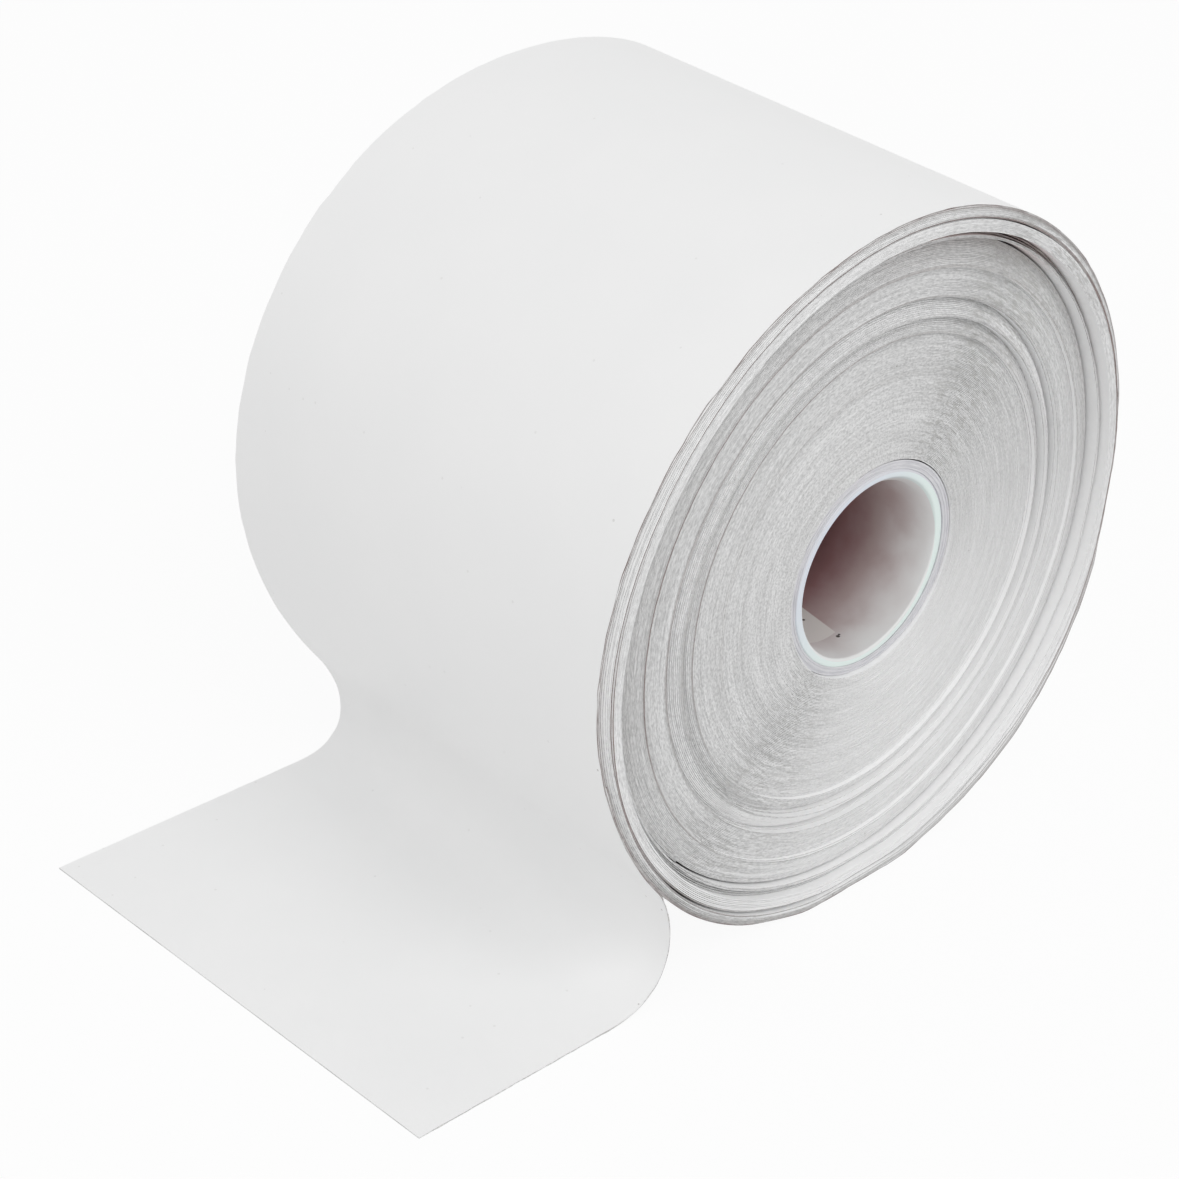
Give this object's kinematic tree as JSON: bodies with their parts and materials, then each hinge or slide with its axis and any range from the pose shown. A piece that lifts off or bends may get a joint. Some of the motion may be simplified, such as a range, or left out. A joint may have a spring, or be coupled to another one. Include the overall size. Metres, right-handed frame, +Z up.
{
  "type": "roll of vinyl label tape",
  "caption": "Roll of white vinyl label tape on a plastic core, lying on its side with a flat tail of tape run out from an S-shaped bend.",
  "frame": {"origin": "middle of the core's bore, halfway along the roll", "axes": "+Y along the bore, away from the end of the roll that the picture shows; +Z up, with the roll lying on its side; the tail runs out towards -X"},
  "size_m": [0.1347, 0.0787, 0.1026],
  "materials": {
    "core_plastic": "milky translucent plastic, cool white at its cut ends, mauve-brown in the shade of the bore",
    "leader_tape": "grey-lavender tape, satin",
    "tape_edges": "cut edges of many thin wraps, fine concentric lines",
    "vinyl_film": "smooth white vinyl, soft gloss",
    "release_liner": "thin coated paper, slightly translucent"
  },
  "bodies": {
    "tape_web": {"slack_film": "vinyl_film", "slack_liner": "release_liner"},
    "winding": {"core": "core_plastic", "core_leader": "leader_tape", "wound_tape": "tape_edges"},
    "tail": {"tail_film": "vinyl_film", "tail_liner": "release_liner"},
    "label": {"label_end": "vinyl_film"}
  },
  "joints": [
    {"name": "unwind", "type": "hinge", "parent": "tape_web", "child": "winding", "pos_m": [0, 0, 0], "axis": [0, 1, 0], "continuous": true},
    {"name": "tail_lift", "type": "hinge", "parent": "tape_web", "child": "tail", "pos_m": [-0.03922, 0, -0.03414], "axis": [0, 1, 0], "range_deg": [0, 75]},
    {"name": "label_peel", "type": "hinge", "parent": "tail", "child": "label", "pos_m": [-0.06306, 0, -0.05071], "axis": [0, 1, 0], "range_deg": [0, 160]}
  ]
}
